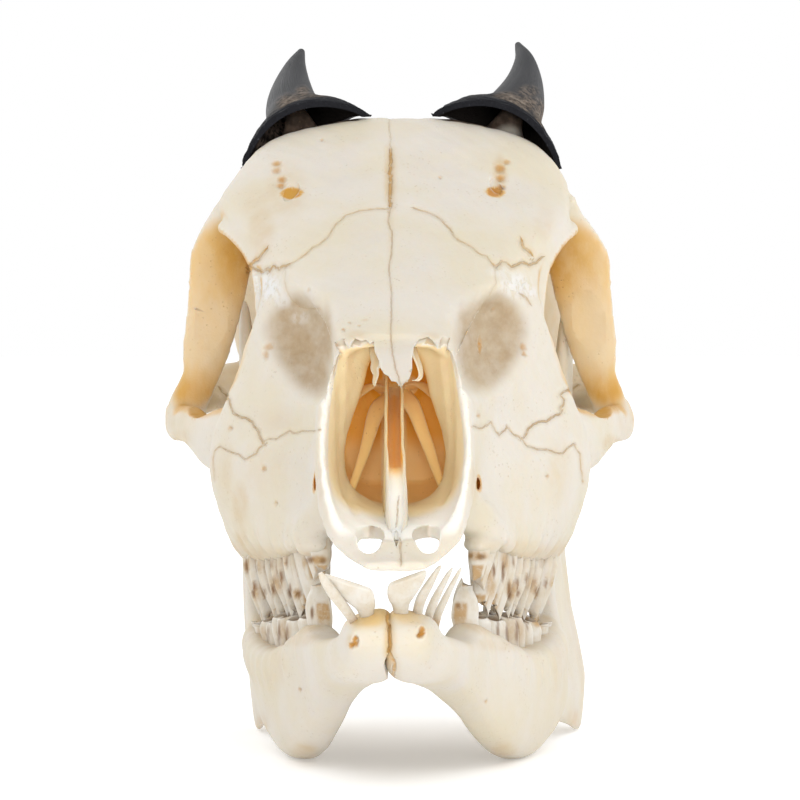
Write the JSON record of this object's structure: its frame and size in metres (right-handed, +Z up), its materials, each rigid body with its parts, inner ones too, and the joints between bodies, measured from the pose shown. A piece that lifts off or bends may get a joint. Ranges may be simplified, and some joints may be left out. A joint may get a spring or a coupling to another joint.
{
  "type": "duiker skull",
  "caption": "Dry skull of a red duiker, a small forest antelope, with short dark horns, its teeth and the lower jaw resting in place, for display, study or set dressing.",
  "frame": {"origin": "on the surface the skull rests on, under the middle of its bounding box", "axes": "+Z up; +Y from the muzzle towards the back of the head, so the skull looks along -Y; +X towards the animal's left side, which is on the right in the picture"},
  "size_m": [0.0724, 0.1594, 0.1085],
  "materials": {
    "bone": "matte",
    "tooth": "satin",
    "horn": "satin"
  },
  "bodies": {
    "root": {"canine_left": "tooth", "cranium": "bone", "horn_sheath_left": "horn", "horn_sheath_right": "horn", "incisor_1_left": "tooth", "incisor_1_right": "tooth", "incisor_2_left": "tooth", "incisor_2_right": "tooth", "incisor_3_left": "tooth", "lower_left_molar_1": "tooth", "lower_left_molar_2": "tooth", "lower_left_molar_3": "tooth", "lower_left_premolar_2": "tooth", "lower_left_premolar_3": "tooth", "lower_left_premolar_4": "tooth", "lower_right_molar_1": "tooth", "lower_right_molar_2": "tooth", "lower_right_molar_3": "tooth", "lower_right_premolar_2": "tooth", "lower_right_premolar_3": "tooth", "lower_right_premolar_4": "tooth", "mandible_left": "bone", "mandible_right": "bone", "upper_left_molar_1": "tooth", "upper_left_molar_2": "tooth", "upper_left_molar_3": "tooth", "upper_left_premolar_2": "tooth", "upper_left_premolar_3": "tooth", "upper_left_premolar_4": "tooth", "upper_right_molar_1": "tooth", "upper_right_molar_2": "tooth", "upper_right_molar_3": "tooth", "upper_right_premolar_2": "tooth", "upper_right_premolar_3": "tooth", "upper_right_premolar_4": "tooth"}
  },
  "joints": []
}
